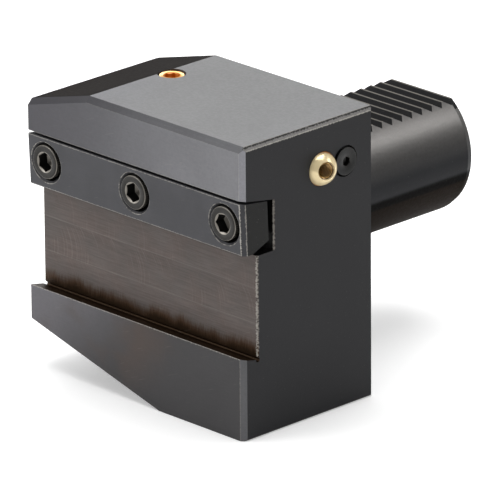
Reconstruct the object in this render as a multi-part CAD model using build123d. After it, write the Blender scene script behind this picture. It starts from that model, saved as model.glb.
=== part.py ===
from build123d import *
from math import acos, cos, radians, sin, sqrt, tan
import os

# Holder for parting blades on a size 40 toothed round shank.
# The origin is where the shank axis meets the contact face, +Y runs along the
# shank away from the block, +X is the blade's cutting end and +Z is up.
# All sizes are in millimetres and all angles in degrees.

# Block
block_width = 85.0
block_height = 85.0
block_depth = 50.0
shank_from_left = 42.5
shank_from_bottom = 48.5
top_slope_width = 23.5
top_slope_angle = 15.0
bottom_flat_width = 33.5
bottom_slope_angle = 15.0
corner_chamfer = 1.4
top_front_chamfer = 1.6
top_end_chamfer = 1.1
rear_chamfer = 0.6
small_chamfer = 0.5

# Toothed shank
shank_diameter = 40.0
shank_length = 63.0
shank_lead_length = 1.8
shank_lead_angle = 15.0
flat_height = 16.0
tooth_pitch = 4.0
tooth_front_angle = 45.0
tooth_back_angle = 30.0
tooth_reference = 29.7
teeth_behind_reference = 8
teeth_before_reference = 4
flat_runout_angle = 60.0
seal_groove_diameter = 36.0
seal_groove_width = 3.8
seal_ring_section = 3.4
seal_recess_diameter = 44.0
seal_recess_depth = 0.6

# Blade seat and wedge pocket
seat_depth = 5.5
ledge_height = 23.9
ledge_angle = 12.0
relief_diameter = 1.4
pocket_depth = 11.9
pocket_floor_height = 52.9
pocket_lip_height = 69.75
wedge_angle = 10.0
seat_edge_chamfer = 0.4

# Clamp bar
bar_shift = 0.3
bar_drop = 0.3
bar_lean = 2.4
bar_gap_above = 0.7
bar_depth = 9.4
bar_bottom_height = 53.9
bar_grip_start = 3.4
bar_grip_angle = 20.0
bar_end_chamfer = 1.2
bar_edge_chamfer = 0.25

# Clamp screws, M6
screw_from_end = 7.1
screw_count = 3
screw_height = 62.0
screw_proud = 0.6
screw_diameter = 6.0
screw_length = 16.0
screw_head_diameter = 9.8
screw_head_height = 6.0
screw_head_rounding = 0.5
screw_hex_width = 5.0
screw_hex_depth = 3.3
first_screw_turn = 3.0
middle_screw_turn = -2.0
last_screw_turn = 33.5
screw_counterbore_diameter = 11.0
screw_counterbore_chamfer = 0.6
screw_passage_diameter = 7.0
screw_inward_travel = 2.0
thread_clearance = 0.05
hole_bottom_clearance = 0.5

# Coolant passages
passage_from_front = 30.5
passage_height = 71.7
passage_diameter = 7.0
passage_from_left = 26.0
inlet_countersink_diameter = 9.0

# Swivelling coolant ball
ball_diameter = 10.0
ball_depth = 1.3
ball_bore_diameter = 5.0
ball_bore_chamfer = 0.15
ball_rest_angle = 15.0
ball_rest_tilt = 4.5
ball_clearance = 0.06
ball_mouth_diameter = 9.9
ball_seal_section = 1.5
ball_seal_clearance = 0.08

# Locking screw of the ball, M4
lock_offset = 8.95
lock_diameter = 4.0
lock_length = 12.0
lock_head_diameter = 8.0
lock_head_rim = 0.35
lock_head_angle = 45.0
lock_proud = 0.5
lock_hex_width = 2.5
lock_hex_depth = 1.6
lock_counterbore_diameter = 9.0
lock_counterbore_clearance = 0.3

# Screw plug of the upper coolant outlet, M8 x 1
plug_diameter = 8.0
plug_length = 6.0
plug_recess = 0.45
plug_chamfer = 0.5
plug_hex_width = 4.0
plug_hex_depth = 3.0

# Places in the part's own frame
left = -shank_from_left
right = left + block_width
bottom = -shank_from_bottom
top = bottom + block_height
front = -block_depth
back = 0.0
seat_wall = front + seat_depth
pocket_wall = front + pocket_depth
ledge_z = bottom + ledge_height
pocket_floor_z = bottom + pocket_floor_height
pocket_lip_z = bottom + pocket_lip_height
passage_x = left + passage_from_left
passage_y = front + passage_from_front
passage_z = bottom + passage_height
shank_radius = shank_diameter / 2
past = 5.0

screw_spacing = (block_width - 2 * screw_from_end) / (screw_count - 1)
screw_places = [left + screw_from_end + i * screw_spacing for i in range(screw_count)]
screw_z = bottom + screw_height
screw_seat_y = front + screw_head_height - screw_proud
screw_seat_lean = (screw_head_diameter / 2 + bar_drop) * tan(radians(bar_lean))
counterbore_depth = screw_head_height - screw_proud + screw_seat_lean
screw_hole_bottom = screw_seat_y + screw_length + screw_inward_travel + hole_bottom_clearance

ball_radius = ball_diameter / 2
ball_x = right - ball_depth
ball_place = Vector(ball_x, passage_y, passage_z)
lock_y = passage_y + lock_offset
lock_head_height = lock_head_rim + (lock_head_diameter - lock_diameter) / 2 / tan(radians(lock_head_angle))
plug_top = top - plug_recess


def across(points, start, end):
    """Prism between two X places, from (y, z) corners."""
    face = Plane.YZ * make_face(Polyline(*points, close=True))
    return Pos(start, 0, 0) * extrude(face, amount=end - start)


def rod(place, direction, diameter, length):
    """Cylinder that starts at a place and runs along a direction."""
    plane = Plane(origin=place, z_dir=direction)
    return extrude(plane * Circle(diameter / 2), amount=length)


def turned(place, direction, outline):
    """Body of revolution about a direction, from (radius, distance) corners."""
    plane = Plane(origin=place, z_dir=direction)
    profile = make_face(Polyline(*outline, close=True))
    return plane * revolve(Plane.XZ * profile, axis=Axis.Z)


def hex_socket(place, direction, width, depth):
    """Hexagon socket with a drill point at its bottom."""
    plane = Plane(origin=place, z_dir=direction)
    corner_radius = width / 2 / cos(radians(30))
    socket = extrude(plane * RegularPolygon(corner_radius, 6), amount=depth)
    point = turned(place, direction, [(0, depth), (width / 2, depth), (0, depth + width / 2 * tan(radians(30)))])
    return socket + point


def edges_along(shape, axis, tests):
    """Straight edges along an axis whose middle passes every test."""
    chosen = [e for e in shape.edges().filter_by(axis) if all(test(e.center()) for test in tests)]
    if not chosen:
        raise ValueError("no edge was found for a chamfer")
    return chosen


def near(name, value, tolerance=0.05):
    """Test that one coordinate of a point is close to a value."""
    return lambda point: abs(getattr(point, name) - value) < tolerance


def block():
    """Block with its sloped top and bottom corners and its broken edges."""
    slope_drop = top_slope_width * tan(radians(top_slope_angle))
    rise_width = block_width - bottom_flat_width
    slope_rise = rise_width * tan(radians(bottom_slope_angle))
    outline = [
        (left + rise_width, bottom),
        (right, bottom),
        (right, top),
        (left + top_slope_width, top),
        (left, top - slope_drop),
        (left, bottom + slope_rise),
    ]
    body = extrude(Plane.XZ * make_face(Polyline(*outline, close=True)), amount=block_depth)
    body = chamfer(edges_along(body, Axis.Z, [near("X", right), near("Y", front)]), corner_chamfer)
    upper_edges = [e for e in body.edges() if near("Y", front)(e.center()) and e.center().Z > top - slope_drop]
    body = chamfer(upper_edges, top_front_chamfer)
    body = chamfer(edges_along(body, Axis.Y, [near("Z", top), near("X", right)]), top_end_chamfer)
    body = chamfer(edges_along(body, Axis.Z, [near("X", right), near("Y", back)]), rear_chamfer)
    body = chamfer(edges_along(body, Axis.Y, [near("Z", bottom), near("X", right)]), small_chamfer)
    body = chamfer(edges_along(body, Axis.Z, [near("X", left), near("Y", back)]), small_chamfer)
    return body


def tooth_profile():
    """Corners (y, z) of the space above the toothed flat of the shank."""
    front_run = 1 / tan(radians(tooth_front_angle))
    back_run = 1 / tan(radians(tooth_back_angle))
    depth = tooth_pitch / (front_run + back_run)
    reference_crest = tooth_reference + depth / 2 * front_run
    roof = shank_radius + past
    corners = []
    for i in range(-teeth_before_reference, teeth_behind_reference + 1):
        crest = reference_crest + i * tooth_pitch
        corners.append((crest - depth * front_run, flat_height - depth))
        corners.append((crest, flat_height))
    end = shank_length + past
    corners.append((end, flat_height - (end - corners[-1][0]) / back_run))
    corners.append((end, roof))
    root_y, root_z = corners[0]
    corners.append((root_y - (roof - root_z) / tan(radians(flat_runout_angle)), roof))
    return corners


def shank():
    """Round shank with its toothed flat and the seal groove at its root."""
    groove_radius = seal_groove_diameter / 2
    root = 2 * seal_recess_depth
    outline = [
        (0, -root),
        (groove_radius, -root),
        (groove_radius, seal_groove_width),
        (shank_radius, seal_groove_width),
        (shank_radius, shank_length - shank_lead_length),
        (shank_radius - shank_lead_length * tan(radians(shank_lead_angle)), shank_length),
        (0, shank_length),
    ]
    round_bar = turned(Vector(0, back, 0), (0, 1, 0), outline)
    return round_bar - across(tooth_profile(), -shank_radius - past, shank_radius + past)


def seat_and_pocket():
    """Space of the blade seat and of the wedge pocket above it."""
    outside = front - past
    lip_slope = tan(radians(wedge_angle))
    ledge_slope = tan(radians(ledge_angle))
    outline = [
        (outside, ledge_z + past * ledge_slope),
        (seat_wall, ledge_z - seat_depth * ledge_slope),
        (seat_wall, pocket_floor_z),
        (pocket_wall, pocket_floor_z),
        (pocket_wall, pocket_lip_z - pocket_depth * lip_slope),
        (outside, pocket_lip_z + past * lip_slope),
    ]
    space = across(outline, left - past, right + past)
    corner = Vector(left - past, seat_wall, ledge_z - seat_depth * ledge_slope)
    return space + rod(corner, (1, 0, 0), relief_diameter, block_width + 2 * past)


def screw_holes():
    """Threaded holes of the clamp screws, from the pocket's back wall."""
    start = pocket_wall - past
    holes = Part()
    for x in screw_places:
        length = screw_hole_bottom - start
        holes += rod(Vector(x, start, screw_z), (0, 1, 0), screw_diameter + 2 * thread_clearance, length)
    return holes


def ball_socket():
    """Socket of the coolant ball: a barrel that closes over the ball at its mouth."""
    radius = ball_radius + ball_clearance
    mouth_radius = ball_mouth_diameter / 2
    mouth_start = sqrt(radius**2 - mouth_radius**2)
    middle = acos(mouth_radius / radius) / 2
    floor = -seal_floor_offset()
    outside = ball_depth + past
    barrel = Polyline((0, floor), (radius, floor), (radius, 0))
    closing = ThreePointArc(
        (radius, 0), (radius * cos(middle), radius * sin(middle)), (mouth_radius, mouth_start)
    )
    mouth = Polyline((mouth_radius, mouth_start), (mouth_radius, outside), (0, outside), (0, floor))
    profile = make_face(barrel + closing + mouth)
    return Plane(origin=ball_place, z_dir=(1, 0, 0)) * revolve(Plane.XZ * profile, axis=Axis.Z)


def seal_ring_radius():
    """Radius from the nozzle axis to the middle of the ball seal's section."""
    return ball_radius + ball_clearance - ball_seal_section / 2


def seal_offset():
    """Distance along the nozzle axis from the ball's centre to its seal."""
    reach = ball_radius + ball_seal_section / 2 + ball_seal_clearance
    return sqrt(reach**2 - seal_ring_radius() ** 2)


def seal_floor_offset():
    """Distance along the nozzle axis from the ball's centre to the socket floor."""
    return seal_offset() + ball_seal_section / 2


def coolant_passages():
    """Inlet from the contact face, cross passage to the ball and upper outlet."""
    crossing = Vector(passage_x, passage_y, passage_z)
    cross = rod(Vector(right, passage_y, passage_z), (-1, 0, 0), passage_diameter, right - passage_x)
    inlet = rod(crossing, (0, 1, 0), passage_diameter, back - passage_y + past)
    outlet = rod(crossing, (0, 0, 1), passage_diameter, top - passage_z + past)
    thread_depth = plug_recess + plug_length + hole_bottom_clearance
    thread_top = Vector(passage_x, passage_y, top + past)
    thread = rod(thread_top, (0, 0, -1), plug_diameter + 2 * thread_clearance, past + thread_depth)
    wide = inlet_countersink_diameter / 2
    narrow = passage_diameter / 2
    bevel = wide - narrow
    inlet_bevel = turned(
        Vector(passage_x, back, passage_z),
        (0, -1, 0),
        [(0, -past), (wide, -past), (wide, 0), (narrow, bevel), (0, bevel)],
    )
    return cross + inlet + outlet + thread + inlet_bevel + Pos(*crossing) * Sphere(passage_diameter / 2)


def lock_hole():
    """Counterbore and threaded hole of the ball's locking screw."""
    counterbore_depth = lock_head_height - lock_proud + lock_counterbore_clearance
    mouth = Vector(right + past, lock_y, passage_z)
    counterbore = rod(mouth, (-1, 0, 0), lock_counterbore_diameter, past + counterbore_depth)
    thread_length = lock_length - lock_proud + hole_bottom_clearance
    thread = rod(Vector(right, lock_y, passage_z), (-1, 0, 0), lock_diameter + 2 * thread_clearance, thread_length)
    return counterbore + thread


def holder_body():
    """Block and shank, one piece of steel, with all its cuts."""
    body = block() - seat_and_pocket()
    for y in (seat_wall, pocket_wall):
        edges = edges_along(body, Axis.Z, [near("X", right), near("Y", y)])
        body = chamfer(edges, seat_edge_chamfer)
    body -= rod(Vector(0, back, 0), (0, -1, 0), seal_recess_diameter, seal_recess_depth)
    body += shank()
    body -= screw_holes()
    body -= coolant_passages()
    body -= ball_socket()
    body -= lock_hole()
    return body


def clamp_bar():
    """Wedge bar that presses the blade down, leaning as it hangs on its screws."""
    start = left + bar_shift
    bar_top = pocket_lip_z - bar_gap_above
    bar_bottom = bottom + bar_bottom_height
    grip_run = bar_depth - bar_grip_start
    outline = [
        (front, bar_bottom),
        (front + bar_grip_start, bar_bottom),
        (front + bar_depth, bar_bottom + grip_run * tan(radians(bar_grip_angle))),
        (front + bar_depth, bar_top - bar_depth * tan(radians(wedge_angle))),
        (front, bar_top),
    ]
    bar = across(outline, start, start + block_width)
    end_edge = edges_along(bar, Axis.Z, [near("X", start + block_width), near("Y", front)])
    bar = chamfer(end_edge, bar_end_chamfer)
    bar = chamfer(edges_along(bar, Axis.X, [near("Y", front)]), bar_edge_chamfer)
    for x in screw_places:
        hole_mouth = Vector(x, front, screw_z - bar_drop)
        bar -= rod(hole_mouth, (0, 1, 0), screw_counterbore_diameter, counterbore_depth)
        bar -= rod(hole_mouth, (0, 1, 0), screw_passage_diameter, bar_depth)
        rim = screw_counterbore_diameter / 2
        bevel = screw_counterbore_chamfer
        bar -= turned(hole_mouth, (0, 1, 0), [(0, -bevel), (rim + 2 * bevel, -bevel), (rim, bevel), (0, bevel)])
    hinge = Pos(0, front, screw_z - bar_drop)
    return hinge * Rot(bar_lean, 0, 0) * hinge.inverse() * bar


def clamp_screw(x, turn):
    """Socket head cap screw that draws the bar into the pocket, turned by an angle."""
    head_radius = screw_head_diameter / 2
    core_radius = screw_diameter / 2
    tip = screw_head_height + screw_length
    tip_bevel = core_radius / 6
    rounding = screw_head_rounding
    outline = [
        (0, 0),
        (head_radius - rounding, 0),
        (head_radius - rounding + rounding * sin(radians(45)), rounding - rounding * cos(radians(45))),
        (head_radius, rounding),
        (head_radius, screw_head_height),
        (core_radius, screw_head_height),
        (core_radius, tip - tip_bevel),
        (core_radius - tip_bevel, tip),
        (0, tip),
    ]
    screw = turned(Vector(0, 0, 0), (0, 1, 0), outline)
    screw -= hex_socket(Vector(0, 0, 0), (0, 1, 0), screw_hex_width, screw_hex_depth)
    return Pos(x, front - screw_proud, screw_z) * Rot(0, -turn, 0) * screw


def coolant_ball():
    """Brass ball with its threaded bore, turned towards the blade's end."""
    ball = Sphere(ball_radius)
    ball -= rod(Vector(-ball_radius, 0, 0), (1, 0, 0), ball_bore_diameter, ball_diameter)
    bore_radius = ball_bore_diameter / 2
    rim = sqrt(ball_radius**2 - bore_radius**2)
    wide = bore_radius + ball_bore_chamfer
    bevel = 2 * ball_bore_chamfer
    outline = [(0, -past), (wide, -past), (wide, 0), (bore_radius, bevel), (0, bevel)]
    for side in (1, -1):
        ball -= turned(Vector(side * rim, 0, 0), (-side, 0, 0), outline)
    return Pos(*ball_place) * Rot(0, 0, -ball_rest_angle) * Rot(0, -ball_rest_tilt, 0) * ball


def ball_seat_seal():
    """Seal ring on the socket floor, behind the ball."""
    ring = Torus(seal_ring_radius(), ball_seal_section / 2)
    return Pos(ball_x - seal_offset(), passage_y, passage_z) * Rot(0, 90, 0) * ring


def ball_lock_screw():
    """Screw whose cone bears on the side of the ball."""
    place = Vector(right + lock_proud, lock_y, passage_z)
    head_radius = lock_head_diameter / 2
    core_radius = lock_diameter / 2
    tip_bevel = core_radius / 5
    outline = [
        (0, 0),
        (head_radius, 0),
        (head_radius, lock_head_rim),
        (core_radius, lock_head_height),
        (core_radius, lock_length - tip_bevel),
        (core_radius - tip_bevel, lock_length),
        (0, lock_length),
    ]
    screw = turned(place, (-1, 0, 0), outline)
    return screw - hex_socket(place, (-1, 0, 0), lock_hex_width, lock_hex_depth)


def top_coolant_plug():
    """Headless screw plug of the upper coolant outlet."""
    place = Vector(passage_x, passage_y, plug_top)
    radius = plug_diameter / 2
    outline = [
        (0, 0),
        (radius - plug_chamfer, 0),
        (radius, plug_chamfer),
        (radius, plug_length - plug_chamfer),
        (radius - plug_chamfer, plug_length),
        (0, plug_length),
    ]
    plug = turned(place, (0, 0, -1), outline)
    return plug - hex_socket(place, (0, 0, -1), plug_hex_width, plug_hex_depth)


def shank_seal_ring():
    """Rubber ring in the groove at the root of the shank."""
    ring_radius = seal_groove_diameter / 2 + seal_ring_section / 2
    ring = Torus(ring_radius, seal_ring_section / 2)
    return Pos(0, back + seal_groove_width / 2, 0) * Rot(90, 0, 0) * ring


screw_names = ["clamp_screw_left", "clamp_screw_middle", "clamp_screw_right"]
screw_turns = [first_screw_turn, middle_screw_turn, last_screw_turn]
nodes = {
    "holder_body": holder_body(),
    "clamp_bar": clamp_bar(),
    "coolant_ball": coolant_ball(),
    "ball_seat_seal": ball_seat_seal(),
    "ball_lock_screw": ball_lock_screw(),
    "top_coolant_plug": top_coolant_plug(),
    "shank_seal_ring": shank_seal_ring(),
}
for name, x, turn in zip(screw_names, screw_places, screw_turns):
    nodes[name] = clamp_screw(x, turn)

os.makedirs("parts", exist_ok=True)
for name, shape in nodes.items():
    export_step(shape, f"parts/{name}.step")
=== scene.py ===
import logging
import math
from dataclasses import dataclass, field
from enum import Enum
from typing import ClassVar

import bmesh
import bpy
from mathutils import Matrix, Vector


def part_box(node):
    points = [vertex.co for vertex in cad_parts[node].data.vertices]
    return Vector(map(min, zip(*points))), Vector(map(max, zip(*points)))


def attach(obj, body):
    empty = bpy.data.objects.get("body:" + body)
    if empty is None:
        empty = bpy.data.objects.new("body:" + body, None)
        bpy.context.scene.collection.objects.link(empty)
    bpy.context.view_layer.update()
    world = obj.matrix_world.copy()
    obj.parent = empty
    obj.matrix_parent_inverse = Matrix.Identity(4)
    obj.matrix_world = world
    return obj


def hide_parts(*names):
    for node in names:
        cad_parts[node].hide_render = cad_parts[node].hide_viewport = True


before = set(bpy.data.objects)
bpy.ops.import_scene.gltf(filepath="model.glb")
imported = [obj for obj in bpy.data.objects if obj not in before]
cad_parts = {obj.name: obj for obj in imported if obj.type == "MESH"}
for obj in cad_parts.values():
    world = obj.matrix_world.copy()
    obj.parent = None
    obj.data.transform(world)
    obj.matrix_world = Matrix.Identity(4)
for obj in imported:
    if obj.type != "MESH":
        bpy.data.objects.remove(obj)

log = logging.getLogger("tool_holder")
MM = 0.001
ALIKE = 0.001
SHARP_ANGLE = 40.0
USUAL_NOISE = (0.3, 0.7)
Colour = tuple[float, float, float]
Corner = tuple[float, float]
Span = tuple[float, float]
Point = tuple[float, float, float]
Socket = bpy.types.NodeSocket
Given = bpy.types.NodeSocket | float | tuple


class Slot(Enum):
    """Material slots of the record."""

    SCREW_STEEL = "screw_steel"
    BLACK_SCREW = "black_screw"
    BRASS = "brass"


class Body(Enum):
    """Bodies that the new pieces ride on."""

    SCREW_LEFT = "screw_left"
    SCREW_MIDDLE = "screw_middle"
    SCREW_RIGHT = "screw_right"
    NOZZLE = "nozzle"
    LOCK_SCREW = "lock_screw"
    PLUG = "plug"


class Axis(Enum):
    """Axes of the part's frame."""

    X = 0
    Y = 1
    Z = 2


class Side(Enum):
    """Ways out of the block.

    Each has the way to a hexagon's first corner, and the axis along which a piece's width is read.
    """

    FRONT = ((0.0, -1.0, 0.0), (0.0, 0.0, 1.0), Axis.X)
    RIGHT = ((1.0, 0.0, 0.0), (0.0, 0.0, 1.0), Axis.Y)
    TOP = ((0.0, 0.0, 1.0), (1.0, 0.0, 0.0), Axis.X)


def shown(red: int, green: int, blue: int) -> Colour:
    """Give the linear colour of a display colour.

    Args:
        red: Red from 0 to 255.
        green: Green from 0 to 255.
        blue: Blue from 0 to 255.

    Returns:
        The linear colour.
    """

    def linear(value: int) -> float:
        """Linear value of one channel, by the sRGB curve."""
        share = value / 255
        return share / 12.92 if share <= 0.04045 else ((share + 0.055) / 1.055) ** 2.4

    return linear(red), linear(green), linear(blue)


def node_box(node: str) -> tuple[Vector, Vector]:
    """Lowest and highest corner of a CAD node in millimetres."""
    low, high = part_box(node)
    return Vector(low) / MM, Vector(high) / MM


class Sheet:
    """Writes the nodes of one material or shader group.

    Args:
        tree: The node tree to write in.
    """

    def __init__(self, tree: bpy.types.NodeTree) -> None:
        """Keep the tree."""
        self.tree = tree

    def node(self, kind: str, values: dict | None = None, **settings: object) -> bpy.types.Node:
        """Add a node.

        Args:
            kind: The node's type name, without its Shader prefix.
            values: Input sockets by name or number, each a value or a socket.
            **settings: Properties of the node.

        Returns:
            The new node.
        """
        made = self.tree.nodes.new("ShaderNode" + kind)
        for name, value in settings.items():
            setattr(made, name, value)
        for name, value in (values or {}).items():
            self.feed(made.inputs[name], value)
        return made

    def feed(self, socket: Socket, value: Given) -> None:
        """Set an input to a value, or link it to a socket.

        Args:
            socket: The input.
            value: A number, a vector or a colour, or the socket to link.
        """
        if isinstance(value, bpy.types.NodeSocket):
            self.tree.links.new(value, socket)
        elif isinstance(value, tuple) and socket.type == "RGBA":
            socket.default_value = (*value, 1.0)
        else:
            socket.default_value = value

    def group(self, tree: bpy.types.NodeTree, values: dict) -> bpy.types.bpy_prop_collection:
        """Outputs of a shader group that is placed with its own values."""
        return self.node("Group", values, node_tree=tree).outputs

    def math(self, operation: str, *values: Given, clamp: bool = False) -> Socket:
        """Result of a Math node on one to three values."""
        return self.node("Math", dict(enumerate(values)), operation=operation, use_clamp=clamp).outputs[0]

    def chain(self, operation: str, first: Given, *others: Given) -> Given:
        """Take an operation through some values in order.

        Args:
            operation: The Math node's operation.
            first: The value to start from.
            *others: The values that follow.

        Returns:
            The result.
        """
        for other in others:
            first = self.math(operation, first, other)
        return first

    def both(self, *masks: Given) -> Given:
        """Product of masks."""
        return self.chain("MULTIPLY", *masks)

    def either(self, *masks: Given) -> Given:
        """Largest of some masks."""
        return self.chain("MAXIMUM", *masks)

    def least(self, *values: Given) -> Given:
        """Smallest of some values."""
        return self.chain("MINIMUM", *values)

    def plus(self, *values: Given) -> Given:
        """Sum of some values."""
        return self.chain("ADD", *values)

    def less(self, first: Given, second: Given) -> Socket:
        """First value less the second."""
        return self.math("SUBTRACT", first, second)

    def length(self, first: Given, second: Given) -> Socket:
        """Length of a slant from its two square parts."""
        return self.math("SQRT", self.plus(self.both(first, first), self.both(second, second)))

    def stretch(self, vector: Given, factors: Point) -> Socket:
        """Vector with each of its parts multiplied by its own factor."""
        return self.node("VectorMath", {0: vector, 1: factors}, operation="MULTIPLY").outputs[0]

    def scale(self, vector: Given, factor: Given) -> Socket:
        """Vector or colour multiplied by one factor."""
        return self.node("VectorMath", {0: vector, "Scale": factor}, operation="SCALE").outputs[0]

    def step(self, value: Given, low: float, high: float, start: float = 0.0, end: float = 1.0) -> Socket:
        """Change smoothly as a value goes from low to high.

        Args:
            value: The value.
            low: Where the change begins.
            high: Where the change ends.
            start: The result up to low.
            end: The result from high on.

        Returns:
            The result.
        """
        values = {"Value": value, "From Min": low, "From Max": high, "To Min": start, "To Max": end}
        return self.node("MapRange", values, interpolation_type="SMOOTHSTEP").outputs["Result"]

    def beyond(self, value: Given, limit: float, soft: float = 0.02) -> Socket:
        """Mask of the values above a limit, with a soft edge."""
        return self.step(value, limit - soft / 2, limit + soft / 2)

    def below(self, value: Given, limit: float, soft: float = 0.02) -> Socket:
        """Mask of the values under a limit, with a soft edge."""
        return self.step(value, limit - soft / 2, limit + soft / 2, 1.0, 0.0)

    def band(self, value: Given, low: float, high: float, soft: float) -> Socket:
        """Mask of the values between two limits, with soft edges."""
        return self.both(self.beyond(value, low, soft), self.below(value, high, soft))

    def noise(self, place: Socket, scale: Given, detail: float) -> Socket:
        """Make noise over a place, or along one measure.

        Args:
            place: A vector, or a number for noise along one measure.
            scale: How fine the noise is.
            detail: How many finer layers it has.

        Returns:
            The noise, from 0 to 1 and mostly near the middle.
        """
        dimensions, given = ("1D", "W") if place.type == "VALUE" else ("3D", "Vector")
        values = {given: place, "Scale": scale, "Detail": detail}
        return self.node("TexNoise", values, noise_dimensions=dimensions).outputs["Fac"]

    def mix(self, share: Given, first: Given, second: Given) -> Socket:
        """Mix two colours.

        Args:
            share: How much of the second colour shows.
            first: The first colour.
            second: The second colour.

        Returns:
            The mixed colour.
        """
        made = self.node("Mix", data_type="RGBA", blend_type="MIX")
        factor = next(s for s in made.inputs if s.name == "Factor" and s.type == "VALUE")
        ends = [s for s in made.inputs if s.type == "RGBA"]
        for socket, value in zip((factor, *ends), (share, first, second)):
            self.feed(socket, value)
        return next(s for s in made.outputs if s.type == "RGBA")

    def layer(self, colour: Given, *covers: tuple[Given, Given]) -> Given:
        """Lay colours over a ground, one after the other.

        Args:
            colour: The ground.
            *covers: Masks, each with the colour that shows where it is 1.

        Returns:
            The covered colour.
        """
        for mask, cover in covers:
            colour = self.mix(mask, colour, cover)
        return colour


@dataclass(frozen=True)
class Edge:
    """Straight edge of a piece that gets a mark of wear and painted light.

    Args:
        run: The axis that it runs along.
        at: Its other two coordinates in millimetres, in X, Y, Z order.
        span: Where it starts and ends along its run.
        width: How far the mark reaches from it.
        share: How strong the mark is, from 0 to 1.
    """

    run: Axis
    at: Corner
    span: Span
    width: float
    share: float


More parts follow.
